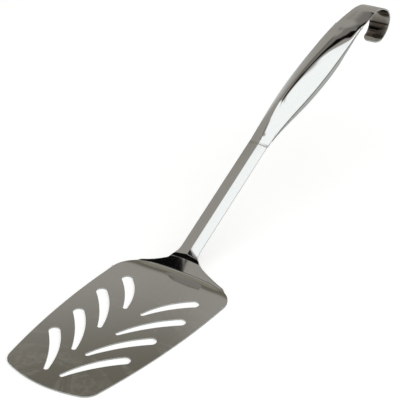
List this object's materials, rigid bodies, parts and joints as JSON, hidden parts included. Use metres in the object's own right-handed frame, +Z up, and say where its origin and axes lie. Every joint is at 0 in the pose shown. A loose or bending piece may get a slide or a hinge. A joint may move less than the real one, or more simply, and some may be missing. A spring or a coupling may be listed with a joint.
{
  "type": "slotted turner",
  "caption": "Slotted steel kitchen turner with a folded heel, slim ridged neck, hollow grip and a strap hook for hanging.",
  "frame": {"origin": "on the blade's flat underside, on the spine between the slots", "axes": "+X from the blade towards the handle, +Z up, +Y to the left when looking along +X; XZ is the plane of symmetry"},
  "size_m": [0.3616, 0.0772, 0.1007],
  "materials": {
    "blade_steel": "mirror-polished stainless steel, not plated",
    "handle_steel": "mirror-polished stainless steel, not plated",
    "weld_steel": "ground and polished weld bead"
  },
  "bodies": {
    "root": {"blade": "blade_steel", "neck_weld": "weld_steel", "handle_top_shell": "handle_steel", "handle_bottom_shell": "handle_steel", "seam_weld_left": "weld_steel", "seam_weld_right": "weld_steel"}
  },
  "joints": []
}
